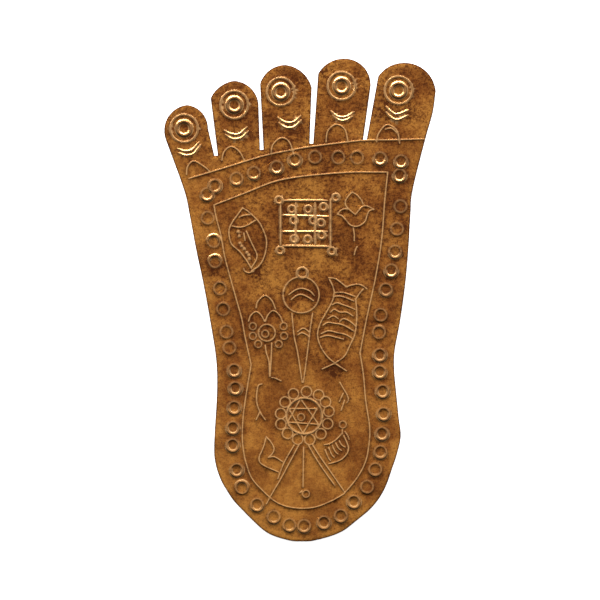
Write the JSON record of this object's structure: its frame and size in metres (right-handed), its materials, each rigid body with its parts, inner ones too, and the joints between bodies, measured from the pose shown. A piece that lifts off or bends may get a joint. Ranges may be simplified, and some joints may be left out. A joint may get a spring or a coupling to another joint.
{
  "type": "embossed foot-shaped copper plate",
  "caption": "Thin copper sheet cut to a left foot with parted toes, raised from behind with ring punches, a chased frame and traditional emblems: a votive sacred-footprint plate that lies flat.",
  "frame": {"origin": "middle of the plate's bounding box, at the back of the flat sheet, where it rests", "axes": "+Y from the heel to the toes, +X from the little toe's side to the big toe's side, +Z out of the raised face"},
  "size_m": [0.0714, 0.127, 0.0007],
  "materials": {
    "copper": null
  },
  "bodies": {
    "root": {"foot_plate": "copper"}
  },
  "joints": []
}
